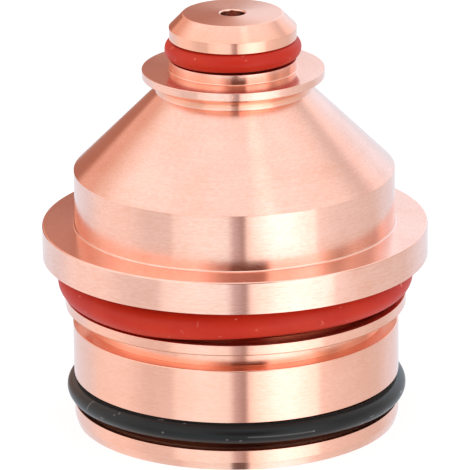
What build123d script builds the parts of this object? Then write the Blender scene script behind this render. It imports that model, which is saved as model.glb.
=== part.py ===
from build123d import *
import math
import os

# The nozzle of a liquid-cooled plasma torch: one turned copper body and three O-rings in its outside grooves.
# It stands tip up. The origin is the centre of its bottom rim, Z is its axis, and all sizes are millimetres.
# Its outside is named from the bottom rim up: bottom land, skirt groove, skirt, ledge, relief, flange land,
# flange groove, flange, barrel, cone, neck, collar, tip land, tip groove, tip.

# Skirt, which enters the torch
skirt_dia = 29.85
skirt_height = 4.95
bottom_land_height = 1.86
rim_taper_width = 0.19
rim_taper_height = 0.75

# Ledge and relief above the skirt, then the land that carries the flange ring
ledge_width = 1.325
relief_height = 1.65
land_step = 0.68
land_height = 0.96

# Flange, which the torch's cap clamps
flange_overhang = 3.0
flange_height = 2.97
flange_edge_radius = 0.22
flange_bottom_break = 0.05
flange_root_radius = 0.25

# Barrel and cone
barrel_dia = 29.2
barrel_height = 5.16
neck_dia = 14.2
cone_height = 7.46
neck_height = 1.15
neck_radius_under_collar = 0.9

# Collar and tip
collar_overhang = 1.18
collar_height = 0.78
tip_dia = 11.55
tip_land_height = 0.94
tip_height = 1.0
tip_bevel_width = 1.235
tip_bevel_height = 1.27

# O-rings: section, groove depth below its land, free width in the groove, share of it that lies under the ring
tip_ring_section = 1.78
tip_groove_depth = 1.385
tip_ring_play = 0.16
tip_ring_rise = 0.85
flange_ring_section = 2.62
flange_groove_depth = 2.005
flange_ring_play = 1.0
flange_ring_rise = 0.4
skirt_ring_section = 1.78
skirt_groove_depth = 1.155
skirt_ring_play = 0.88
skirt_ring_rise = 0.66
ring_seat_clearance = 0.02

# Inside: the gas guide's bore, the cathode's chamber, the arc's throat and the orifice
skirt_wall = 2.27
guide_bore_depth = 15.0
chamber_dia = 16.0
chamber_height = 5.0
inner_cone_half_angle = 35.0
throat_dia = 5.2
throat_cone_half_angle = 45.0
orifice_dia = 2.2
orifice_length = 3.0
mouth_bevel = 0.6
orifice_bevel = 0.14

# Corners of the turned edges
edge_break = 0.12
collar_edge_break = 0.07
land_edge_break = 0.06
cut_beyond = 1.0

# Radii
skirt_radius = skirt_dia / 2
ledge_radius = skirt_radius - ledge_width
land_radius = skirt_radius + land_step
barrel_radius = barrel_dia / 2
flange_radius = barrel_radius + flange_overhang
neck_radius = neck_dia / 2
collar_radius = neck_radius + collar_overhang
tip_radius = tip_dia / 2
tip_face_radius = tip_radius - tip_bevel_width

# Heights above the rim
skirt_groove_width = skirt_ring_section + skirt_ring_play
flange_groove_width = flange_ring_section + flange_ring_play
tip_groove_width = tip_ring_section + tip_ring_play
ledge_level = bottom_land_height + skirt_groove_width + skirt_height
land_level = ledge_level + relief_height
flange_groove_level = land_level + land_height
flange_level = flange_groove_level + flange_groove_width
barrel_level = flange_level + flange_height
cone_level = barrel_level + barrel_height
neck_level = cone_level + cone_height
collar_level = neck_level + neck_height
tip_land_level = collar_level + collar_height
tip_groove_level = tip_land_level + tip_land_height
tip_bevel_level = tip_groove_level + tip_groove_width + tip_height
tip_level = tip_bevel_level + tip_bevel_height


def lathe(points, bevels=(), fillets=()):
    """Turns a closed half outline of (radius, height) points, with bevels and fillets at some of its corners."""
    outline = make_face(Polyline(*points, close=True))
    for corner, size in bevels:
        outline = chamfer(outline.vertices().sort_by_distance(corner)[0], size)
    for corner, size in fillets:
        outline = fillet(outline.vertices().sort_by_distance(corner)[0], size)
    return revolve(Plane.XZ * outline, Axis.Z)


def outside():
    """The body's outside, with its grooves still to be cut."""
    axis_bottom = (0, 0)
    rim = (skirt_radius - rim_taper_width, 0)
    taper_top = (skirt_radius, rim_taper_height)
    skirt_top = (skirt_radius, ledge_level)
    ledge_root = (ledge_radius, ledge_level)
    relief_top = (ledge_radius, land_level)
    land_bottom = (land_radius, land_level)
    land_top = (land_radius, flange_level)
    flange_bottom = (flange_radius, flange_level)
    flange_top = (flange_radius, barrel_level)
    flange_root = (barrel_radius, barrel_level)
    barrel_top = (barrel_radius, cone_level)
    cone_top = (neck_radius, neck_level)
    neck_top = (neck_radius, collar_level)
    collar_bottom = (collar_radius, collar_level)
    collar_top = (collar_radius, tip_land_level)
    tip_root = (tip_radius, tip_land_level)
    tip_corner = (tip_radius, tip_bevel_level)
    tip_face_edge = (tip_face_radius, tip_level)
    axis_top = (0, tip_level)
    points = (
        axis_bottom, rim, taper_top, skirt_top, ledge_root, relief_top, land_bottom, land_top, flange_bottom,
        flange_top, flange_root, barrel_top, cone_top, neck_top, collar_bottom, collar_top, tip_root, tip_corner,
        tip_face_edge, axis_top,
    )
    bevels = (
        (skirt_top, edge_break), (land_bottom, land_edge_break), (flange_bottom, flange_bottom_break),
        (collar_bottom, collar_edge_break), (collar_top, collar_edge_break),
    )
    fillets = (
        (flange_top, flange_edge_radius), (flange_root, flange_root_radius), (neck_top, neck_radius_under_collar),
    )
    return lathe(points, bevels, fillets)


def inside():
    """The hollow: gas guide's bore, cathode's chamber, cone, throat and orifice, run a little past both ends."""
    bore = skirt_radius - skirt_groove_depth - skirt_wall
    chamber = chamber_dia / 2
    throat = throat_dia / 2
    orifice = orifice_dia / 2
    cone_start = guide_bore_depth + chamber_height
    throat_start = cone_start + (chamber - throat) / math.tan(math.radians(inner_cone_half_angle))
    orifice_start = tip_level - orifice_length
    throat_end = orifice_start - (throat - orifice) / math.tan(math.radians(throat_cone_half_angle))
    return lathe((
        (0, -cut_beyond),
        (bore + mouth_bevel + cut_beyond, -cut_beyond),
        (bore, mouth_bevel),
        (bore, guide_bore_depth),
        (chamber, guide_bore_depth),
        (chamber, cone_start),
        (throat, throat_start),
        (throat, throat_end),
        (orifice, orifice_start),
        (orifice, tip_level - orifice_bevel),
        (orifice + orifice_bevel + cut_beyond, tip_level + cut_beyond),
        (0, tip_level + cut_beyond),
    ))


def groove(land, depth, level, width):
    """The ring of metal that an O-ring groove takes out of a land of this radius."""
    floor = land - depth
    beyond = land + cut_beyond
    return lathe(((floor, level), (beyond, level), (beyond, level + width), (floor, level + width)))


def o_ring(land, depth, level, section, play, rise):
    """A round-section ring seated on its groove's floor, at its share of the side play."""
    centre = land - depth + ring_seat_clearance + section / 2
    height = level + rise * play + section / 2
    return Pos(0, 0, height) * Torus(centre, section / 2)


skirt_seat = (skirt_radius, skirt_groove_depth, bottom_land_height)
flange_seat = (land_radius, flange_groove_depth, flange_groove_level)
tip_seat = (tip_radius, tip_groove_depth, tip_groove_level)

nozzle_body = outside() - inside()
nozzle_body -= groove(*skirt_seat, skirt_groove_width)
nozzle_body -= groove(*flange_seat, flange_groove_width)
nozzle_body -= groove(*tip_seat, tip_groove_width)

nodes = {
    "nozzle_body": nozzle_body,
    "tip_o_ring": o_ring(*tip_seat, tip_ring_section, tip_ring_play, tip_ring_rise),
    "flange_o_ring": o_ring(*flange_seat, flange_ring_section, flange_ring_play, flange_ring_rise),
    "skirt_o_ring": o_ring(*skirt_seat, skirt_ring_section, skirt_ring_play, skirt_ring_rise),
}

os.makedirs("parts", exist_ok=True)
for name, shape in nodes.items():
    export_step(shape, f"parts/{name}.step")
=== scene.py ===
"""A turned copper nozzle for a plasma torch, with three O-rings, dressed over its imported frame."""
import logging
import math
from dataclasses import dataclass, field
from enum import Enum
from typing import Any, Optional, Sequence

import bpy
import numpy as np
from mathutils import Matrix, Vector

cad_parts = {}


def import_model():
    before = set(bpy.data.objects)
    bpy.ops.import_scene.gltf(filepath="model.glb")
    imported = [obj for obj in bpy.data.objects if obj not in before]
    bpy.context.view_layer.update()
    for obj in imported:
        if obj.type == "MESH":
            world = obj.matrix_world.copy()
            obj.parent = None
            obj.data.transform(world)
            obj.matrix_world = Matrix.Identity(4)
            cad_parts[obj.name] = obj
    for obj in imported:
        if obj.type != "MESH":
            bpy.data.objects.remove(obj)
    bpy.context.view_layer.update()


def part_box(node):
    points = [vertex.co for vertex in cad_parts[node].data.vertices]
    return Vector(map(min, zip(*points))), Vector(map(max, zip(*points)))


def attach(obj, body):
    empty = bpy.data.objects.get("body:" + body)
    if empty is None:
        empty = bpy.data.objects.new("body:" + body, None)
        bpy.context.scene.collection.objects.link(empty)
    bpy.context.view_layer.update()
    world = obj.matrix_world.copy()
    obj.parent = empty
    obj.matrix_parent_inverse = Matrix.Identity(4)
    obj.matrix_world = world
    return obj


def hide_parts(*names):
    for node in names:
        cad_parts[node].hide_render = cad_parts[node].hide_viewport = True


LOG = logging.getLogger("nozzle")
MM = 0.001
DEGREES = 180.0 / math.pi
ROOT = "root"
UV_MAP = "UVMap"
SHADE_AND_GRIME = "shade_and_grime"
DUST_AND_GLINT = "dust_and_glint"


def linear(hex_colour: str) -> tuple[float, float, float, float]:
    """Turns an sRGB hex colour such as #C8321E into linear RGBA.

    Args:
        hex_colour: The colour, with its leading hash.

    Returns:
        Red, green, blue and an alpha of 1.
    """
    values = np.array([int(hex_colour[i:i + 2], 16) for i in (1, 3, 5)]) / 255.0
    curve = np.where(values <= 0.04045, values / 12.92, ((values + 0.055) / 1.055) ** 2.4)
    return (*(float(v) for v in curve), 1.0)


def blank_tree(owner: Any) -> bpy.types.NodeTree:
    """Turns on the nodes of a material or world and takes away those that it starts with.

    Args:
        owner: The material or world.

    Returns:
        Its empty node tree.
    """
    owner.use_nodes = True
    owner.node_tree.nodes.clear()
    return owner.node_tree


def add_node(tree: bpy.types.NodeTree, kind: str, inputs: Optional[dict[Any, Any]] = None,
             **settings: Any) -> bpy.types.Node:
    """Adds one shader node with its settings, values and links.

    Args:
        tree: The node tree.
        kind: The node's type name, without its ShaderNode prefix.
        inputs: Socket name or index, to a value or to the output socket that feeds it.
        **settings: Properties of the node.

    Returns:
        The new node.
    """
    node = tree.nodes.new("ShaderNode" + kind)
    for key, value in settings.items():
        setattr(node, key, value)
    for key, value in (inputs or {}).items():
        if isinstance(value, bpy.types.NodeSocket):
            tree.links.new(value, node.inputs[key])
        else:
            node.inputs[key].default_value = value
    return node


@dataclass(frozen=True)
class Corner:
    """One corner of a turned outline: radius, height and the radius that rounds it in mm, and the share of
    painted shade, warm painted reflection and soiling that it gives the copper.
    """

    radius: float
    height: float
    rounding: float
    shade_and_grime: float = 0.0


def swung(vectors: np.ndarray, angles: np.ndarray) -> np.ndarray:
    """Turns each flat vector by each of its angles: vector x cos(angle) + its left normal x sin(angle).

    Args:
        vectors: The vectors, as (corners, 2).
        angles: The angles, as (corners, steps).

    Returns:
        The turned vectors, as (corners, steps, 2).
    """
    left = np.stack([-vectors[:, 1], vectors[:, 0]], axis=1)
    return vectors[:, None, :] * np.cos(angles)[..., None] + left[:, None, :] * np.sin(angles)[..., None]


class Lathe:
    """A closed half outline with rounded corners, turned round Z into a closed surface with exact normals.

    Points are rounded to a number of digits, and those that fall on the same place, in mm, become one.
    """

    digits: int = 9
    same_place: float = 1e-7

    def __init__(self, corners: Sequence[Corner], arc_steps: int = 5) -> None:
        """Works out the rounded outline.

        Each corner becomes an arc: it leaves the incoming edge at rounding x tan(turn / 2) before the corner,
        and its direction turns evenly from the incoming edge's to the outgoing edge's. A corner without a
        turn, which only carries its share of painted shade and soiling, becomes one point.

        Args:
            corners: The corners, counterclockwise in (radius, height).
            arc_steps: Points on each corner's arc.
        """
        points = np.array([(c.radius, c.height) for c in corners])
        rounding = np.array([c.rounding for c in corners])[:, None]
        ahead = np.roll(points, -1, axis=0) - points
        ahead /= np.linalg.norm(ahead, axis=1, keepdims=True)
        back = np.roll(ahead, 1, axis=0)
        cross = back[:, 0] * ahead[:, 1] - back[:, 1] * ahead[:, 0]
        turn = np.arctan2(cross, (back * ahead).sum(axis=1))[:, None]
        start = points - back * rounding * np.tan(np.abs(turn) / 2)
        side = np.sign(turn) * np.stack([-back[:, 1], back[:, 0]], axis=1)
        centre = start + side * rounding
        angles = turn * np.linspace(0.0, 1.0, arc_steps)[None, :]
        arcs = centre[:, None, :] - swung(side, angles) * rounding[:, None, :]
        heading = swung(back, angles)
        points = np.round(arcs, self.digits).reshape(-1, 2)
        kept = np.linalg.norm(points - np.roll(points, 1, axis=0), axis=1) > self.same_place
        self.points = points[kept]
        self.normals = np.stack([heading[..., 1], -heading[..., 0]], axis=-1).reshape(-1, 2)[kept]
        self.shade_and_grime = np.repeat([c.shade_and_grime for c in corners], arc_steps)[kept]

    def mesh(self, name: str, turns: int = 512) -> bpy.types.Object:
        """Turns the outline into a mesh.

        Its UV map holds the turn (0 to 1) and the length along the outline in mm.

        Args:
            name: The object's name.
            turns: Steps round the axis.

        Returns:
            The new object.
        """
        theta = np.linspace(0.0, 2 * math.pi, turns, endpoint=False) + math.pi / 2
        grid = spin(self.points[:, 0], self.points[:, 1], theta)
        normals = spin(self.normals[:, 0], self.normals[:, 1], theta)
        step = np.linalg.norm(np.roll(self.points, -1, axis=0) - self.points, axis=1)
        along = np.concatenate([[0.0], np.cumsum(step)])
        piece = grid_mesh(name, grid * MM, normals, along)
        # Each corner's share of painted shade, warm painted reflection and soiling, for the copper to read
        paint(piece, SHADE_AND_GRIME, np.tile(self.shade_and_grime, turns))
        return piece


def spin(radius: np.ndarray, height: np.ndarray, theta: np.ndarray) -> np.ndarray:
    """Turns (radius, height) pairs round Z: x = radius cos theta, y = radius sin theta, z = height.

    Args:
        radius: The radii, one for each point of the outline.
        height: The heights.
        theta: The angles.

    Returns:
        An array of (angles, points, 3).
    """
    x = np.cos(theta)[:, None] * radius[None, :]
    y = np.sin(theta)[:, None] * radius[None, :]
    return np.stack([x, y, np.broadcast_to(height, x.shape)], axis=-1)


def grid_mesh(name: str, grid: np.ndarray, normals: np.ndarray, along: np.ndarray) -> bpy.types.Object:
    """Makes a mesh from a grid of points that closes on itself both ways.

    Args:
        name: The object's name.
        grid: Points as (angles, outline, 3), in metres.
        normals: The outward normal at each point, in the same layout.
        along: Length along the outline at each point, in mm, with the closing one at its end.

    Returns:
        The new object, linked into the scene.
    """
    turns, count = grid.shape[:2]
    i, j = np.meshgrid(np.arange(turns), np.arange(count), indexing="ij")
    ring = np.stack([i, i + 1, i + 1, i], axis=-1)
    line = np.stack([j, j, j + 1, j + 1], axis=-1)
    faces = ((ring % turns) * count + line % count).reshape(-1, 4)
    uv = np.stack([ring / turns, along[line]], axis=-1).reshape(-1, 2)
    mesh = bpy.data.meshes.new(name)
    mesh.vertices.add(turns * count)
    mesh.vertices.foreach_set("co", grid.reshape(-1).astype(np.float32))
    mesh.loops.add(faces.size)
    mesh.loops.foreach_set("vertex_index", faces.reshape(-1).astype(np.int32))
    mesh.polygons.add(len(faces))
    mesh.polygons.foreach_set("loop_start", np.arange(0, faces.size, 4, dtype=np.int32))
    mesh.update(calc_edges=True)
    mesh.uv_layers.new(name=UV_MAP).data.foreach_set("uv", uv.reshape(-1).astype(np.float32))
    mesh.polygons.foreach_set("use_smooth", np.ones(len(faces), dtype=bool))
    mesh.normals_split_custom_set_from_vertices(normals.reshape(-1, 3).tolist())
    mesh.validate()
    piece = bpy.data.objects.new(name, mesh)
    bpy.context.scene.collection.objects.link(piece)
    return piece


def wrapped(lengths: np.ndarray, start: int) -> np.ndarray:
    """Gives lengths round a closed line from one of its points, the short way round.

    Args:
        lengths: Length at each point, with the whole length at the end.
        start: The point to measure from.

    Returns:
        The length to each point, from minus half the whole to plus half of it.
    """
    whole = lengths[-1]
    return (lengths[:-1] - lengths[start] + whole / 2) % whole - whole / 2


def paint(piece: bpy.types.Object, name: str, values: np.ndarray) -> None:
    """Stores one number per vertex as an attribute that a material can read.

    Args:
        piece: The mesh object.
        name: The attribute's name.
        values: One value for each vertex.
    """
    layer = piece.data.attributes.new(name, "FLOAT", "POINT")
    layer.data.foreach_set("value", np.asarray(values, dtype=np.float32).reshape(-1))


@dataclass(frozen=True)
class View:
    """The camera that fits the photograph's circles, in mm, degrees and pixels of its square frame."""

    distance: float = 452.28
    elevation: float = 18.5973
    pitch: float = 18.3971
    roll: float = 0.6228
    aim: float = 15.607
    focal_pixels: float = 4947.2
    frame_pixels: int = 470
    sensor: float = 36.0
    nearest: float = 10.0

    def place(self) -> np.ndarray:
        """Works out where the camera stands: its distance away at its elevation, from the aimed height.

        Returns:
            Its x, y and z in mm.
        """
        elevation = math.radians(self.elevation)
        away = np.array([0.0, -math.cos(elevation), math.sin(elevation)])
        return away * self.distance + (0.0, 0.0, self.aim)

    def axes(self) -> np.ndarray:
        """Works out how the camera is turned: pitched down first, then rolled.

        Returns:
            Its right, up and back directions as rows.
        """
        pitch, roll = math.radians(self.pitch), math.radians(self.roll)
        level = np.array([1.0, 0.0, 0.0])
        upright = np.array([0.0, math.sin(pitch), math.cos(pitch)])
        right = level * math.cos(roll) - upright * math.sin(roll)
        up = level * math.sin(roll) + upright * math.cos(roll)
        return np.stack([right, up, np.cross(right, up)])

    def pixels(self, points: np.ndarray) -> np.ndarray:
        """Works out where points fall in the frame: focal length x offset / distance, from its middle.

        Args:
            points: The points in mm, with x, y and z last.

        Returns:
            Pixels across and down from the frame's top left corner.
        """
        across, up, back = np.moveaxis((points - self.place()) @ self.axes().T, -1, 0)
        middle = self.frame_pixels / 2
        right = middle - self.focal_pixels * across / back
        down = middle + self.focal_pixels * up / back
        return np.stack([right, down], axis=-1)

    def faces(self, points: np.ndarray, normals: np.ndarray) -> np.ndarray:
        """Tells for each point whether its side faces the camera."""
        return ((self.place() - points) * normals).sum(axis=-1) > 0.0


class Slot(Enum):
    """The record's material slots."""

    COPPER = "copper"
    RED = "red_silicone"
    BLACK = "black_rubber"


@dataclass(frozen=True)
class TurnedCopper:
    """Copper bar turned to a bright satin: a pink-orange metal, with fine rings from the tool round the axis.

    The rings spread a reflection across them and leave it sharp along them, so lights draw clean upright
    bands. On flat faces the tool leans their flanks a few degrees outward, so left and right are lit from
    different sides. Light and shade are painted into the colour by each corner's share: up to the share
    called tinted it warms the copper towards orange, which in the inner corners is a painted reflection of
    copper facing copper, and more of it browns and roughens the copper, painted shade in the ring grooves and
    under the land, with some dried coolant. The tool's marks are about 0.05 mm apart. They are drawn at 0.2
    mm, because finer ones can't be seen from here. Sizes are in mm and the lean is in degrees. Ring change is
    how fast the rings vary on their way round, and dulling is the stretch of the patterns' sum over which the
    copper goes from bright to dull.
    """

    name: str = "turned_copper"
    bright: str = "#FBCABA"
    dull: str = "#F1B7A2"
    dulling: tuple[float, float] = (0.95, 1.65)
    # Warm orange: in the inner corners a painted reflection of copper facing copper
    tint: str = "#FAB497"
    tinted: float = 0.3
    # Brown of the painted shade in the ring grooves and under the land, with some dried coolant
    shade_and_grime_brown: str = "#6A2C18"
    roughness: float = 0.165
    shade_and_grime_roughness: float = 0.7
    anisotropy: float = 0.93
    across_rings: float = 0.25
    ring_pitch: float = 0.2
    ring_depth: float = 0.0012
    ring_change: float = 0.35
    ring_detail: float = 2.0
    ring_share: float = 0.4
    flank_lean: float = 4.0
    dash_length: float = 0.5
    dash_width: float = 0.13
    dash_detail: float = 1.0
    mean_radius: float = 14.0
    stain_size: float = 4.0
    stain_detail: float = 3.0

    def colour(self, tree: bpy.types.NodeTree, mottle: bpy.types.NodeSocket,
               shade_and_grime: bpy.types.NodeSocket) -> tuple[bpy.types.NodeSocket, bpy.types.NodeSocket]:
        """Adds the copper's colour: bright to dull by the mottle, then warmer and browner by the painted
        reflection, painted shade and soiling.

        Args:
            tree: The material's node tree.
            mottle: The patterns added up.
            shade_and_grime: The share of painted shade, warm painted reflection and soiling.

        Returns:
            The colour, and the share of painted shade and soiling that is left over the tint.
        """
        dulled = add_node(tree, "MapRange", {
            "Value": mottle, "From Min": self.dulling[0], "From Max": self.dulling[1]})
        clean = add_node(tree, "Mix", {
            "Factor": dulled.outputs[0], "A": linear(self.bright), "B": linear(self.dull)}, data_type="RGBA")
        warmth = add_node(tree, "MapRange", {"Value": shade_and_grime, "From Max": self.tinted})
        warm = add_node(tree, "Mix", {
            "Factor": warmth.outputs[0], "A": clean.outputs["Result"], "B": linear(self.tint)},
            data_type="RGBA")
        shade_and_dirt = add_node(tree, "MapRange", {"Value": shade_and_grime, "From Min": self.tinted})
        colour = add_node(tree, "Mix", {
            "Factor": shade_and_dirt.outputs[0], "A": warm.outputs["Result"], "B": linear(self.shade_and_grime_brown)},
            data_type="RGBA")
        return colour.outputs["Result"], shade_and_dirt.outputs[0]

    def make(self) -> bpy.types.Material:
        """Builds the material; its patterns read the UV map's length, the share of painted shade and soiling,
        and Object coordinates.

        Patterns that run round the axis read the spoke, the direction away from it, so they have no seam.

        Returns:
            The new material.
        """
        material = bpy.data.materials.new(self.name)
        tree = blank_tree(material)
        place = add_node(tree, "TexCoord")
        length = add_node(tree, "SeparateXYZ", {0: place.outputs["UV"]}).outputs["Y"]
        flat = add_node(tree, "VectorMath", {
            0: place.outputs["Object"], 1: (1.0, 1.0, 0.0)}, operation="MULTIPLY").outputs[0]
        spoke = add_node(tree, "VectorMath", {0: flat}, operation="NORMALIZE").outputs[0]
        patterns = []
        for around, width, detail in (
                (self.ring_change, self.ring_pitch, self.ring_detail),
                (self.mean_radius / self.dash_length, self.dash_width, self.dash_detail)):
            step = add_node(tree, "VectorMath", {0: spoke, "Scale": around}, operation="SCALE")
            turn = add_node(tree, "SeparateXYZ", {0: step.outputs[0]})
            row = add_node(tree, "Math", {0: length, 1: 1.0 / width}, operation="MULTIPLY")
            spot = add_node(tree, "CombineXYZ", {0: turn.outputs[0], 1: turn.outputs[1], 2: row.outputs[0]})
            noise = add_node(tree, "TexNoise", {"Vector": spot.outputs[0], "Scale": 1.0, "Detail": detail})
            patterns.append(noise.outputs["Fac"])
        rings, dashes = patterns
        radius = add_node(tree, "VectorMath", {0: flat}, operation="LENGTH")
        slope = -math.tan(math.radians(self.flank_lean)) / MM
        lean = add_node(tree, "Math", {0: radius.outputs["Value"], 1: slope}, operation="MULTIPLY")
        relief = add_node(tree, "Math", {
            0: rings, 1: self.ring_depth, 2: lean.outputs[0]}, operation="MULTIPLY_ADD")
        bump = add_node(tree, "Bump", {"Height": relief.outputs[0], "Strength": 1.0, "Distance": MM})
        stains = add_node(tree, "TexNoise", {
            "Vector": place.outputs["Object"], "Scale": 1.0 / (self.stain_size * MM),
            "Detail": self.stain_detail})
        grain = add_node(tree, "Math", {0: stains.outputs["Fac"], 1: dashes}, operation="ADD")
        mottle = add_node(tree, "Math", {
            0: rings, 1: self.ring_share, 2: grain.outputs[0]}, operation="MULTIPLY_ADD")
        # The corners' share paints light and shade into the colour: a warm painted reflection, then painted
        # shade with some soiling
        shade_and_grime = add_node(tree, "Attribute", attribute_name=SHADE_AND_GRIME)
        colour, shade_and_dirt = self.colour(tree, mottle.outputs[0], shade_and_grime.outputs["Fac"])
        rough = add_node(tree, "MapRange", {
            "Value": shade_and_dirt, "To Min": self.roughness, "To Max": self.shade_and_grime_roughness})
        tangent = add_node(tree, "Tangent", direction_type="UV_MAP", uv_map=UV_MAP)
        shader = add_node(tree, "BsdfPrincipled", {
            "Base Color": colour, "Metallic": 1.0, "Roughness": rough.outputs[0],
            "Anisotropic": self.anisotropy, "Anisotropic Rotation": self.across_rings,
            "Normal": bump.outputs[0], "Tangent": tangent.outputs[0]})
        add_node(tree, "OutputMaterial", {0: shader.outputs[0]})
        return material


@dataclass(frozen=True)
class MouldedRubber:
    """Rubber moulded in a polished mould: a soft satin skin that is never mirror bright, with a faint bloom.

    The grain's size and depth are in mm. The bloom's patches are counted per mm.
    """

    name: str
    body: str
    worn: str
    roughness: float
    ior: float
    gloss: float
    haze: float
    lint_and_glint: str = "#8C8684"
    haze_spread: float = 0.5
    grain_size: float = 0.25
    grain_depth: float = 0.004
    grain_strength: float = 0.4
    grain_detail: float = 3.0
    bloom_per_mm: float = 0.3
    bloom_detail: float = 4.0
    blooming: tuple[float, float] = (0.4, 0.75)

    def make(self) -> bpy.types.Material:
        """Builds the material; its grain and bloom read Object coordinates, and its pale flecks, a few of
        them painted highlights, read their attribute.

        Returns:
            The new material.
        """
        material = bpy.data.materials.new(self.name)
        tree = blank_tree(material)
        place = add_node(tree, "TexCoord").outputs["Object"]
        grain = add_node(tree, "TexNoise", {
            "Vector": place, "Scale": 1.0 / (self.grain_size * MM), "Detail": self.grain_detail})
        bloom = add_node(tree, "TexNoise", {
            "Vector": place, "Scale": self.bloom_per_mm / MM, "Detail": self.bloom_detail})
        bloomed = add_node(tree, "MapRange", {
            "Value": bloom.outputs["Fac"], "From Min": self.blooming[0], "From Max": self.blooming[1]})
        colour = add_node(tree, "Mix", {
            "Factor": bloomed.outputs[0], "A": linear(self.body), "B": linear(self.worn)}, data_type="RGBA")
        bump = add_node(tree, "Bump", {
            "Height": grain.outputs["Fac"], "Strength": self.grain_strength,
            "Distance": self.grain_depth * MM})
        # Pale flecks of specks and fibres, a few of them painted highlights, mixed into the colour
        dust_and_glint = add_node(tree, "Attribute", attribute_name=DUST_AND_GLINT)
        dusty_and_glinting = add_node(tree, "Mix", {
            "Factor": dust_and_glint.outputs["Fac"], "A": colour.outputs["Result"], "B": linear(self.lint_and_glint)},
            data_type="RGBA")
        shader = add_node(tree, "BsdfPrincipled", {
            "Base Color": dusty_and_glinting.outputs["Result"], "Roughness": self.roughness, "IOR": self.ior,
            "Specular IOR Level": self.gloss, "Sheen Weight": self.haze, "Sheen Roughness": self.haze_spread,
            "Normal": bump.outputs[0]})
        add_node(tree, "OutputMaterial", {0: shader.outputs[0]})
        return material


# Red silicone, moulded: a strong red to the eye, with a broad dull shine and hardly any haze.
RED_SILICONE = MouldedRubber(
    name="red_silicone", body="#BC1E00", worn="#C42A04", roughness=0.46, ior=1.41, gloss=0.4, haze=0.03,
    lint_and_glint="#F29484")
# Black nitrile rubber, moulded: near black to the eye, greyed by the haze where it curves away.
BLACK_RUBBER = MouldedRubber(
    name="black_rubber", body="#060708", worn="#0B0D0F", roughness=0.32, ior=1.5, gloss=0.27, haze=0.14)


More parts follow.
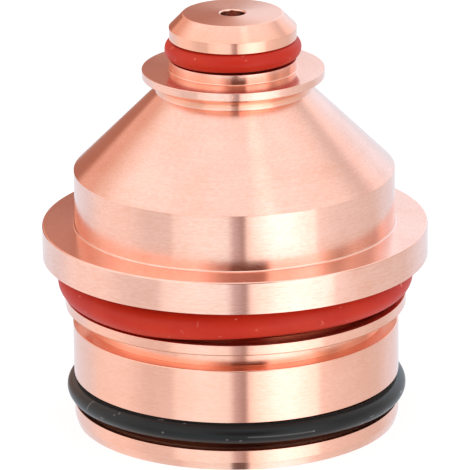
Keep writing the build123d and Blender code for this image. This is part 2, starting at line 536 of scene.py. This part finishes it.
@dataclass
class NozzleBody:
    """The turned copper body: outside and hollow as one closed outline, in mm.

    Levels run from the rim up, as the body is named: bottom land, skirt groove, skirt, relief, flange land,
    flange groove, flange, barrel, cone, neck, collar, tip land, tip groove and tip.
    """

    node: str = "nozzle_body"
    skirt: float = 14.925
    ledge: float = 13.6
    land: float = 15.605
    barrel: float = 14.6
    neck: float = 7.1
    collar: float = 8.28
    tip: float = 5.775
    tip_face: float = 4.54
    skirt_floor: float = 13.77
    flange_floor: float = 13.6
    tip_floor: float = 4.39
    bore: float = 11.5
    chamber: float = 8.0
    throat: float = 2.6
    orifice: float = 1.1
    steps_up: dict[str, float] = field(default_factory=lambda: {
        "bottom_land": 1.86, "skirt_groove": 2.66, "skirt": 4.95, "relief": 1.65, "land": 0.96,
        "flange_groove": 3.62, "flange": 2.97, "barrel": 5.16, "cone": 7.46, "neck": 1.15, "collar": 0.78,
        "tip_land": 0.94, "tip_groove": 1.94, "tip": 1.0, "tip_bevel": 1.27})
    bore_depth: float = 15.0
    chamber_height: float = 5.0
    inner_cone_angle: float = 35.0
    orifice_length: float = 3.0
    mouth_bevel: float = 0.6
    rim_taper: tuple[float, float] = (0.19, 0.75)
    inside_box: float = 0.001

    # What rounds the corners
    crisp: float = 0.04
    broken: float = 0.12
    land_round: float = 0.08
    flange_round: float = 0.15
    root_round: float = 0.17
    neck_round: float = 0.9
    tip_round: float = 0.25
    mouth_round: float = 0.15

    # Shade and reflection painted into the copper at the corners: painted shade with some dried coolant in
    # the ring grooves, a painted shadow at the land's lower edge and how fast it fades, a warm painted
    # reflection in the inner corners of the ledge, the neck and the collar, and a warmer tone low down and at
    # the tip
    skirt_shade_and_grime: float = 0.96
    ledge_reflection: float = 0.2
    land_edge_shadow: float = 0.55
    fade: float = 0.05
    flange_shade_and_grime: float = 0.37
    neck_reflection: float = 0.28
    collar_reflection: float = 0.12
    tip_shade_and_grime: float = 0.8
    low_tint: float = 0.1
    tip_tint: float = 0.18

    def corners(self) -> list[Corner]:
        """Lists the outline's corners.

        Returns:
            The corners, counterclockwise from the mouth of the bore.
        """
        flange = min(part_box(self.node)[1][:2]) / MM - self.inside_box
        level = dict(zip(self.steps_up, np.cumsum(list(self.steps_up.values()))))
        top = level["tip_bevel"]
        cone_start = self.bore_depth + self.chamber_height
        cone_slope = math.tan(math.radians(self.inner_cone_angle))
        throat_start = cone_start + (self.chamber - self.throat) / cone_slope
        orifice_start = top - self.orifice_length
        throat_end = orifice_start - (self.throat - self.orifice)
        # The fourth number paints shade and reflection into the copper: painted shade in the ring grooves
        # with some dried coolant, a painted shadow under the land, a warm painted reflection in the inner
        # corners
        outline = (
            (self.bore + self.mouth_bevel, 0.0, self.crisp),
            (self.skirt - self.rim_taper[0], 0.0, self.crisp),
            (self.skirt, self.rim_taper[1], self.crisp, self.low_tint),
            (self.skirt, level["bottom_land"], self.crisp, self.low_tint),
            (self.skirt_floor, level["bottom_land"], self.broken, self.skirt_shade_and_grime),
            (self.skirt_floor, level["skirt_groove"], self.broken, self.skirt_shade_and_grime),
            (self.skirt, level["skirt_groove"], self.crisp, self.low_tint),
            (self.skirt, level["skirt"], self.broken, self.low_tint),
            (self.ledge, level["skirt"], self.crisp, self.ledge_reflection),
            (self.ledge, level["relief"], self.broken),
            (self.land, level["relief"], self.land_round, self.land_edge_shadow),
            (self.land, level["relief"] + self.land_round + self.fade, 0.0, self.low_tint),
            (self.land, level["land"], self.crisp, self.low_tint),
            (self.flange_floor, level["land"], self.broken, self.flange_shade_and_grime),
            (self.flange_floor, level["flange_groove"], self.broken, self.flange_shade_and_grime),
            (flange, level["flange_groove"], self.crisp),
            (flange, level["flange"], self.flange_round),
            (self.barrel, level["flange"], self.root_round),
            (self.barrel, level["barrel"], self.crisp),
            (self.neck, level["cone"], self.crisp),
            (self.neck, level["neck"], self.neck_round, self.neck_reflection),
            (self.collar, level["neck"], self.broken),
            (self.collar, level["collar"], self.crisp),
            (self.tip, level["collar"], self.broken, self.collar_reflection),
            (self.tip, level["tip_land"], self.crisp),
            (self.tip_floor, level["tip_land"], self.broken, self.tip_shade_and_grime),
            (self.tip_floor, level["tip_groove"], self.broken, self.tip_shade_and_grime),
            (self.tip, level["tip_groove"], self.crisp, self.tip_tint),
            (self.tip, level["tip"], self.crisp, self.tip_tint),
            (self.tip_face, top, self.tip_round, self.tip_tint / 2),
            (self.orifice, top, self.mouth_round),
            (self.orifice, orifice_start, self.crisp),
            (self.throat, throat_end, self.broken),
            (self.throat, throat_start, self.broken),
            (self.chamber, cone_start, self.broken),
            (self.chamber, self.bore_depth, self.crisp),
            (self.bore, self.bore_depth, self.broken),
            (self.bore, self.mouth_bevel, self.crisp),
        )
        return [Corner(*corner) for corner in outline]

    def build(self) -> bpy.types.Object:
        """Turns the outline and dresses it in copper.

        Returns:
            The new object.
        """
        piece = Lathe(self.corners()).mesh("nozzle_body_turned")
        piece.data.materials.append(TurnedCopper().make())
        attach(piece, ROOT)
        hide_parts(self.node)
        return piece


@dataclass(frozen=True)
class LintAndGlint:
    """A pale fleck or fibre stuck to a ring; a few of them are painted highlights along its edge.

    Its spot was read in the photograph, as pixels across and down from the top left corner of the
    view's frame. Length and width are mm on the ring's skin. Slant turns the length from lying along the
    ring (0 degrees) to standing across it (90 degrees).
    """

    spot: tuple[float, float]
    strength: float
    length: float = 0.06
    width: float = 0.07
    slant: float = 0.0


@dataclass
class ORing:
    """A round-section ring that lies unevenly in its groove, with the specks and fibres it has picked up and
    a few painted highlights.

    Lifts are (bearing, mm above the even seat). Bearings are degrees from the camera's side, growing to its
    right. The grid is crowded towards the ring's outermost line, where the pale flecks show.
    """

    node: str
    finish: MouldedRubber
    slot: Slot
    lifts: tuple[tuple[float, float], ...]
    lint_and_glint: tuple[LintAndGlint, ...] = ()
    view: View = View()
    turns: int = 1280
    steps: int = 64
    crowding: float = 0.45
    evened: float = 12.0
    samples: int = 13
    fleck_edge: float = 1.5

    def lift(self, bearing: np.ndarray) -> np.ndarray:
        """Works out how far the ring is lifted.

        The lifts are read by straight lines from bearing to bearing, and then evened out over a few degrees
        each way, with weights that fall off as 1 + cos from the middle.

        Args:
            bearing: The bearings.

        Returns:
            The height above the ring's even seat at each bearing, in mm.
        """
        known = np.array(self.lifts)
        offsets = np.linspace(-self.evened, self.evened, self.samples)
        weights = 1.0 + np.cos(np.radians(offsets * 180.0 / (self.evened + 1.0)))
        around = bearing[:, None] + offsets[None, :]
        heights = np.interp(around, known[:, 0], known[:, 1], period=360.0)
        return (heights * weights).sum(axis=1) / weights.sum()

    def dust_and_glint(self, along: np.ndarray, over: np.ndarray, grid: np.ndarray,
             normals: np.ndarray) -> np.ndarray:
        """Works out how far the pale flecks, specks and fibres with a few painted highlights among them,
        cover each point of the ring.

        Each fleck sits at the point that the camera sees nearest to its spot. It is a bar whose edges fade
        over its width.

        Args:
            along: Length round the ring at each step, in mm.
            over: Length round the section at each step, in mm.
            grid: The ring's points in mm, as (along, over, 3).
            normals: The outward normals, in the same layout.

        Returns:
            Cover from 0 to 1, as (along, over).
        """
        cover = np.zeros(grid.shape[:2])
        seen = self.view.pixels(grid)
        hidden = ~self.view.faces(grid, normals)
        for fleck in self.lint_and_glint:
            miss = np.linalg.norm(seen - fleck.spot, axis=-1) + hidden * self.view.frame_pixels
            i, j = np.unravel_index(miss.argmin(), miss.shape)
            turn = math.radians(fleck.slant)
            side, rise = wrapped(along, i)[:, None], wrapped(over, j)[None, :]
            u = side * math.cos(turn) + rise * math.sin(turn)
            v = rise * math.cos(turn) - side * math.sin(turn)
            far = np.hypot(np.maximum(np.abs(u) - fleck.length / 2, 0.0), v)
            shade = np.clip(self.fleck_edge - far / fleck.width, 0.0, 1.0)
            cover = np.maximum(cover, fleck.strength * shade)
        return cover

    def build(self) -> bpy.types.Object:
        """Makes the ring from its node's box: a circle of the section's radius, carried round the axis.

        Returns:
            The new object.
        """
        low, high = (np.array(corner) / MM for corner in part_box(self.node))
        section = (high[2] - low[2]) / 2
        centre = high[0] - section
        middle = (high[2] + low[2]) / 2
        theta = np.linspace(0.0, 2 * math.pi, self.turns, endpoint=False) + math.pi / 2
        even = np.linspace(0.0, 2 * math.pi, self.steps, endpoint=False)
        phi = even - self.crowding * np.sin(even)
        outward, up = np.cos(phi), np.sin(phi)
        grid = spin(centre + section * outward, middle + section * up, theta)
        grid[..., 2] += self.lift(np.degrees(theta) + 90.0)[:, None]
        normals = spin(outward, up, theta)
        along = np.linspace(0.0, 2 * math.pi * (centre + section), self.turns + 1)
        over = section * np.append(phi, 2 * math.pi)
        piece = grid_mesh(self.node + "_moulded", grid * MM, normals, over)
        # Pale flecks of specks and fibres, with a few painted highlights among them
        paint(piece, DUST_AND_GLINT, self.dust_and_glint(along, over, grid, normals))
        piece.data.materials.append(self.finish.make())
        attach(piece, ROOT)
        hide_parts(self.node)
        return piece


@dataclass
class ScrapeBurr:
    """A small burr that a knock has raised on the collar's edge: a slanted lozenge, peaked in its middle.

    Sizes are in mm, and bearing and slant in degrees. Its corners are sunk under the collar's skin, and its
    root is deeper. How far the copper is browned is given for the four corners, the peak and the root.
    """

    bearing: float = -0.5
    height: float = 32.86
    radius: float = 8.28
    length: float = 0.6
    width: float = 0.16
    rise: float = 0.05
    sunk: float = 0.02
    root: float = 0.1
    slant: float = 62.0
    shade_and_grime: tuple[float, ...] = (0.2, 0.9, 0.2, 0.0, 0.0, 0.0)

    def build(self) -> bpy.types.Object:
        """Makes the lozenge: four corners round the centre, then the peak and the root at the centre.

        Returns:
            The new object.
        """
        turn = math.radians(self.slant)
        ends = np.array([(-1.0, 0.0), (0.0, -1.0), (1.0, 0.0), (0.0, 1.0), (0.0, 0.0), (0.0, 0.0)])
        ends *= (self.length / 2, self.width / 2)
        side = ends[:, 0] * math.cos(turn) - ends[:, 1] * math.sin(turn)
        up = ends[:, 0] * math.sin(turn) + ends[:, 1] * math.cos(turn)
        depth = self.radius + np.array([-self.sunk] * 4 + [self.rise, -self.root])
        theta = math.radians(self.bearing - 90.0) + side / self.radius
        points = np.stack([depth * np.cos(theta), depth * np.sin(theta), self.height + up], axis=1)
        faces = [(i, (i + 1) % 4, 4) for i in range(4)] + [((i + 1) % 4, i, 5) for i in range(4)]
        mesh = bpy.data.meshes.new("collar_burr")
        mesh.from_pydata((points * MM).tolist(), [], faces)
        mesh.uv_layers.new(name=UV_MAP).data.foreach_set("uv", np.zeros(2 * len(mesh.loops)))
        piece = bpy.data.objects.new("collar_burr", mesh)
        bpy.context.scene.collection.objects.link(piece)
        paint(piece, SHADE_AND_GRIME, np.array(self.shade_and_grime))
        scraped = TurnedCopper(name="scraped_copper", anisotropy=0.0, roughness=0.25)
        piece.data.materials.append(scraped.make())
        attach(piece, ROOT)
        return piece


@dataclass(frozen=True)
class LightBand:
    """A belt of the studio's walls: its light by bearing, and the elevation up to which it reaches.

    It gives way to the belt above over soft degrees each way. Stops are (bearing in degrees, red, green,
    blue), read by straight lines between them.
    """

    top: float
    soft: float
    stops: tuple[tuple[float, float, float, float], ...]


@dataclass(frozen=True)
class Softbox:
    """A patch of the studio's light, as seen from the nozzle, in degrees of bearing and elevation.

    Outside each side it fades over that side's soft degrees.
    """

    bearing: tuple[float, float]
    soft_left: float
    soft_right: float
    elevation: tuple[float, float]
    soft_low: float
    soft_high: float
    colour: tuple[float, float, float]

    def mask(self, tree: bpy.types.NodeTree, bearing: bpy.types.NodeSocket,
             elevation: bpy.types.NodeSocket) -> bpy.types.NodeSocket:
        """Adds the patch's mask: its four edges, each a smooth rise or fall, multiplied together.

        Args:
            tree: The world's node tree.
            bearing: The bearing that is looked at.
            elevation: The elevation that is looked at.

        Returns:
            A socket that is 1 inside the patch and falls to 0 over its soft edges.
        """
        edges = (
            (bearing, self.bearing[0] - self.soft_left, self.bearing[0], 0.0, 1.0),
            (bearing, self.bearing[1], self.bearing[1] + self.soft_right, 1.0, 0.0),
            (elevation, self.elevation[0] - self.soft_low, self.elevation[0], 0.0, 1.0),
            (elevation, self.elevation[1], self.elevation[1] + self.soft_high, 1.0, 0.0),
        )
        product: Any = 1.0
        for source, start, end, first, last in edges:
            edge = add_node(tree, "MapRange", {
                "Value": source, "From Min": start, "From Max": end, "To Min": first, "To Max": last,
            }, interpolation_type="SMOOTHSTEP")
            both = add_node(tree, "Math", {0: edge.outputs[0], 1: product}, operation="MULTIPLY")
            product = both.outputs[0]
        return product


@dataclass
class Floor:
    """The wide pale paper that the nozzle stands on, which curves up into a wall all round, in mm."""

    radius: float = 900.0
    wall: float = 600.0
    bend: float = 250.0
    thickness: float = 5.0
    hole: float = 0.5
    edge: float = 0.1
    foot: float = 1.0
    arc_steps: int = 9
    turns: int = 96
    paper: float = 0.9
    glow: float = 1.15
    glow_share: float = 0.7

    def build(self) -> bpy.types.Object:
        """Turns the paper's outline, as the nozzle's is, and hides it from the nozzle's reflections.

        Returns:
            The new object.
        """
        outside = self.radius + self.thickness
        outline = (
            Corner(self.hole, -self.thickness, self.edge), Corner(outside, -self.thickness, self.foot),
            Corner(outside, self.wall, self.edge), Corner(self.radius, self.wall, self.edge),
            Corner(self.radius, 0.0, self.bend), Corner(self.hole, 0.0, self.edge),
        )
        sweep = Lathe(outline, self.arc_steps).mesh("floor", self.turns)
        material = bpy.data.materials.new("pale_floor")
        tree = blank_tree(material)
        paper = add_node(tree, "BsdfDiffuse", {"Color": (self.paper, self.paper, self.paper, 1.0)})
        glow = add_node(tree, "Emission", {"Color": (1.0, 1.0, 1.0, 1.0), "Strength": self.glow})
        both = add_node(tree, "MixShader", {0: self.glow_share, 1: paper.outputs[0], 2: glow.outputs[0]})
        add_node(tree, "OutputMaterial", {0: both.outputs[0]})
        sweep.data.materials.append(material)
        sweep.visible_glossy = False
        sweep.visible_diffuse = False
        sweep.visible_shadow = False
        return sweep


@dataclass
class Studio:
    """The soft light round the nozzle, as red, green and blue, and the camera.

    From straight down the light is that of below, then the low band, the high band and the overhead light.
    Low start is the stretch of elevation over which the low band takes over, in degrees.
    """

    below: tuple[float, float, float] = (0.85, 0.8, 0.78)
    overhead: tuple[float, float, float] = (1.18, 1.18, 1.2)
    low_start: tuple[float, float] = (-60.0, -42.0)
    low: LightBand = LightBand(top=2.0, soft=7.0, stops=(
        # room behind, and the white boards beside it
        (-180.0, 0.86, 0.95, 1.05), (-130.0, 0.86, 0.95, 1.05), (-112.0, 1.04, 1.04, 1.04),
        (-85.0, 1.04, 1.04, 1.04),
        # left panel, after a dimmer stretch
        (-66.0, 0.86, 0.86, 0.86), (-47.0, 0.86, 0.86, 0.86), (-44.0, 1.06, 1.12, 1.12),
        (-22.0, 1.1, 1.3, 1.34),
        # gap between the panels, where the camera stands
        (-5.5, 1.1, 1.25, 1.3), (-3.0, 0.95, 0.95, 1.0), (-1.0, 0.7, 0.66, 0.7), (3.2, 0.6, 0.55, 0.58),
        (4.4, 0.48, 0.4, 0.4), (6.6, 0.48, 0.4, 0.4),
        # right panel
        (8.0, 1.1, 1.1, 1.1), (12.0, 1.45, 1.45, 1.45), (21.0, 1.75, 1.75, 1.8), (32.0, 1.95, 1.95, 2.05),
        (39.0, 1.95, 1.95, 2.05), (48.0, 1.75, 1.75, 1.8), (59.5, 1.5, 1.5, 1.5), (61.5, 1.05, 1.05, 1.05),
        # dimmer stretch to its right, then the room behind again
        (79.0, 0.93, 0.93, 0.93), (100.0, 0.84, 0.84, 0.84), (119.0, 0.8, 0.8, 0.8),
        (135.0, 0.86, 0.95, 1.05), (180.0, 0.86, 0.95, 1.05)))
    high: LightBand = LightBand(top=38.0, soft=14.0, stops=(
        # dark corner of the room behind
        (-180.0, 0.64, 0.42, 0.35), (-179.2, 0.62, 0.38, 0.3), (-178.0, 0.42, 0.18, 0.12),
        (-176.2, 0.24, 0.04, 0.02), (-174.2, 0.66, 0.38, 0.3), (-164.0, 0.95, 0.6, 0.46),
        (-132.0, 0.85, 0.58, 0.48),
        # left panel, which leans in and so reaches further round up here
        (-116.0, 1.0, 0.9, 0.82), (-90.0, 1.4, 1.4, 1.4), (-66.0, 1.35, 1.25, 1.15), (-28.0, 1.6, 1.6, 1.6),
        # the camera and the dark room round it
        (-17.0, 1.0, 0.86, 0.79), (-9.0, 0.5, 0.33, 0.27), (-1.0, 0.5, 0.26, 0.19), (23.0, 0.5, 0.26, 0.19),
        # right panel
        (27.0, 1.8, 1.85, 1.9), (60.0, 1.7, 1.75, 1.8),
        # dimmer stretch, then the pale wall behind
        (70.0, 0.95, 0.88, 0.76), (79.0, 0.6, 0.58, 0.56), (93.0, 0.9, 0.86, 0.8), (119.0, 0.66, 0.64, 0.64),
        (129.0, 1.15, 1.1, 1.1), (142.0, 1.0, 1.12, 1.25), (165.0, 1.1, 1.3, 1.5), (177.5, 1.1, 1.2, 1.3),
        (180.0, 0.64, 0.42, 0.35)))
    boxes: tuple[Softbox, ...] = (
        # dark room above the camera
        Softbox(bearing=(-1.0, 19.0), soft_left=6.0, soft_right=5.0,
                elevation=(-1.0, 17.0), soft_low=5.0, soft_high=8.0, colour=(0.03, 0.01, 0.0)),
        # foot of the dark corner behind, which the cone's left edge picks up
        Softbox(bearing=(-176.0, -148.0), soft_left=3.0, soft_right=12.0,
                elevation=(-9.0, 9.0), soft_low=5.0, soft_high=6.0, colour=(0.46, 0.22, 0.16)),
        # shadow of the camera on the floor
        Softbox(bearing=(-3.0, 7.0), soft_left=4.0, soft_right=5.0,
                elevation=(-80.0, -42.0), soft_low=1.0, soft_high=8.0, colour=(0.12, 0.07, 0.06)),
        # ceiling light that draws the cone's streak
        Softbox(bearing=(31.0, 40.0), soft_left=12.0, soft_right=12.0,
                elevation=(20.0, 62.0), soft_low=10.0, soft_high=10.0, colour=(1.4, 1.5, 1.5)),
    )
    headroom: float = 4.0
    view: View = View()

    def light(self) -> None:
        """Paints the studio's light on the world, as a function of bearing and elevation."""
        world = bpy.data.worlds.new("studio")
        bpy.context.scene.world = world
        tree = blank_tree(world)
        way = add_node(tree, "SeparateXYZ", {0: add_node(tree, "TexCoord").outputs["Generated"]})
        front = add_node(tree, "Math", {0: way.outputs["Y"], 1: -1.0}, operation="MULTIPLY")
        around = add_node(tree, "Math", {0: way.outputs["X"], 1: front.outputs[0]}, operation="ARCTAN2")
        up = add_node(tree, "Math", {0: way.outputs["Z"]}, operation="ARCSINE")
        bearing, elevation = (
            add_node(tree, "Math", {0: angle.outputs[0], 1: DEGREES}, operation="MULTIPLY").outputs[0]
            for angle in (around, up))
        share = add_node(tree, "MapRange", {
            "Value": bearing, "From Min": -180.0, "From Max": 180.0}).outputs[0]
        low, high = self.low, self.high
        layers = (
            (*self.low_start, self.ramp(tree, share, low)),
            (low.top - low.soft, low.top + low.soft, self.ramp(tree, share, high)),
            (high.top - high.soft, high.top + high.soft, (*self.overhead, 1.0)),
        )
        colour: Any = (*self.below, 1.0)
        for start, end, layer in layers:
            rise = add_node(tree, "MapRange", {
                "Value": elevation, "From Min": start, "From Max": end}, interpolation_type="SMOOTHSTEP")
            colour = add_node(tree, "Mix", {
                "Factor": rise.outputs[0], "A": colour, "B": layer}, data_type="RGBA").outputs["Result"]
        for box in self.boxes:
            colour = add_node(tree, "Mix", {
                "Factor": box.mask(tree, bearing, elevation), "A": colour, "B": (*box.colour, 1.0),
            }, data_type="RGBA").outputs["Result"]
        glow = add_node(tree, "Background", {"Color": colour, "Strength": 1.0})
        add_node(tree, "OutputWorld", {0: glow.outputs[0]})

    def ramp(self, tree: bpy.types.NodeTree, share: bpy.types.NodeSocket,
             band: LightBand) -> bpy.types.NodeSocket:
        """Adds one band's light by bearing.

        A ramp keeps values below 1, so it holds them divided by the headroom, which they get back after it.

        Args:
            tree: The world's node tree.
            share: The bearing as a share of the full turn, from behind.
            band: The band.

        Returns:
            The band's colour.
        """
        node = add_node(tree, "ValToRGB", {0: share})
        elements = node.color_ramp.elements
        while len(elements) < len(band.stops):
            elements.new(1.0)
        for element, (bearing, *light) in zip(elements, band.stops):
            element.position = (bearing + 180.0) / 360.0
            element.color = (*(value / self.headroom for value in light), 1.0)
        full = add_node(tree, "VectorMath", {
            0: node.outputs["Color"], "Scale": self.headroom}, operation="SCALE")
        return full.outputs[0]

    def camera(self) -> bpy.types.Object:
        """Makes the camera of the view and sets it.

        Returns:
            The camera.
        """
        data = bpy.data.cameras.new("camera")
        data.sensor_width = self.view.sensor
        data.lens = self.view.sensor * self.view.focal_pixels / self.view.frame_pixels
        data.clip_start = self.view.nearest * MM
        camera = bpy.data.objects.new("camera", data)
        turn = Matrix(self.view.axes().tolist()).transposed().to_4x4()
        camera.matrix_world = Matrix.Translation(Vector(self.view.place()) * MM) @ turn
        bpy.context.scene.collection.objects.link(camera)
        bpy.context.scene.camera = camera
        return camera


def rings() -> list[ORing]:
    """Lists the rings, with how each one lies in its groove and its pale flecks: specks and fibres, with a
    few painted highlights.

    Returns:
        The tip's ring, the flange's ring and the skirt's ring.
    """
    return [
        ORing(
            node="tip_o_ring", finish=RED_SILICONE, slot=Slot.RED,
            lifts=((-90.0, -0.1), (-50.0, -0.1), (0.0, 0.0), (180.0, 0.0)),
            lint_and_glint=(
                LintAndGlint(spot=(180.0, 47.5), strength=0.3, length=0.3, width=0.08, slant=30.0),
                LintAndGlint(spot=(172.0, 48.0), strength=0.4, length=0.25, width=0.08, slant=70.0),
                LintAndGlint(spot=(175.0, 60.0), strength=0.4), LintAndGlint(spot=(195.0, 59.0), strength=0.45),
                LintAndGlint(spot=(215.0, 72.5), strength=0.45), LintAndGlint(spot=(243.0, 56.0), strength=0.35),
                LintAndGlint(spot=(246.0, 61.0), strength=0.25), LintAndGlint(spot=(290.0, 59.0), strength=0.4),
            )),
        ORing(
            node="flange_o_ring", finish=RED_SILICONE, slot=Slot.RED,
            lifts=((-120.0, -0.2), (-60.0, -0.35), (-30.0, -0.35), (-5.0, 0.05), (15.0, 0.25), (35.0, 0.2),
                   (65.0, 0.0), (180.0, -0.1)),
            lint_and_glint=(
                LintAndGlint(spot=(79.5, 296.0), strength=0.6), LintAndGlint(spot=(85.5, 312.0), strength=0.45),
                LintAndGlint(spot=(129.0, 330.0), strength=0.4), LintAndGlint(spot=(169.0, 337.0), strength=0.4),
                LintAndGlint(spot=(236.0, 319.0), strength=0.55), LintAndGlint(spot=(220.0, 337.0), strength=0.4, length=0.1),
                LintAndGlint(spot=(257.0, 330.0), strength=0.35), LintAndGlint(spot=(341.0, 307.0), strength=0.35),
                LintAndGlint(spot=(347.0, 321.0), strength=0.35), LintAndGlint(spot=(400.0, 299.0), strength=0.6),
                LintAndGlint(spot=(401.0, 284.0), strength=0.8, length=0.15, width=0.1, slant=60.0),
                LintAndGlint(spot=(198.0, 324.5), strength=0.3, length=0.4, width=0.05, slant=88.0),
                LintAndGlint(spot=(182.0, 332.0), strength=0.2, length=0.35, width=0.05, slant=-50.0),
                LintAndGlint(spot=(322.5, 322.5), strength=0.3, length=0.4, width=0.05, slant=-55.0),
                LintAndGlint(spot=(321.5, 325.0), strength=0.25, length=0.2, width=0.05, slant=40.0),
            )),
        ORing(
            node="skirt_o_ring", finish=BLACK_RUBBER, slot=Slot.BLACK,
            lifts=((-120.0, -0.15), (-65.0, -0.1), (-45.0, 0.05), (-15.0, 0.15), (30.0, 0.05), (60.0, -0.2),
                   (180.0, -0.1)),
            lint_and_glint=(
                LintAndGlint(spot=(89.0, 405.0), strength=0.6, length=1.1, width=0.05, slant=68.0),
                LintAndGlint(spot=(281.5, 435.5), strength=0.3, length=6.0, width=0.05),
                LintAndGlint(spot=(361.0, 424.0), strength=0.5, length=0.4, width=0.05, slant=70.0),
                LintAndGlint(spot=(401.0, 391.5), strength=0.8, length=0.5),
                LintAndGlint(spot=(102.0, 418.0), strength=0.45, length=0.25),
                LintAndGlint(spot=(160.5, 420.0), strength=0.45, length=0.5),
                LintAndGlint(spot=(372.0, 416.5), strength=0.35, length=0.5),
                # Pale streak along the lower right edge: a painted highlight, with some grease
                LintAndGlint(spot=(386.0, 410.0), strength=0.3, length=0.9),
                LintAndGlint(spot=(163.0, 432.5), strength=0.6), LintAndGlint(spot=(314.0, 431.0), strength=0.7),
                LintAndGlint(spot=(241.0, 441.0), strength=0.5), LintAndGlint(spot=(227.0, 440.0), strength=0.5),
                LintAndGlint(spot=(119.0, 413.5), strength=0.6), LintAndGlint(spot=(114.0, 415.0), strength=0.45),
                LintAndGlint(spot=(184.5, 423.5), strength=0.5),
            )),
    ]


def main() -> None:
    logging.basicConfig(level=logging.INFO, format="%(name)s: %(message)s")
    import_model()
    for part in (NozzleBody(), ScrapeBurr(), *rings()):
        piece = part.build()
        LOG.info("%s: %d vertices", piece.name, len(piece.data.vertices))
    studio = Studio()
    studio.light()
    Floor().build()
    studio.camera()
    bpy.context.scene.view_settings.view_transform = "Standard"


if __name__ == "__main__":
    main()
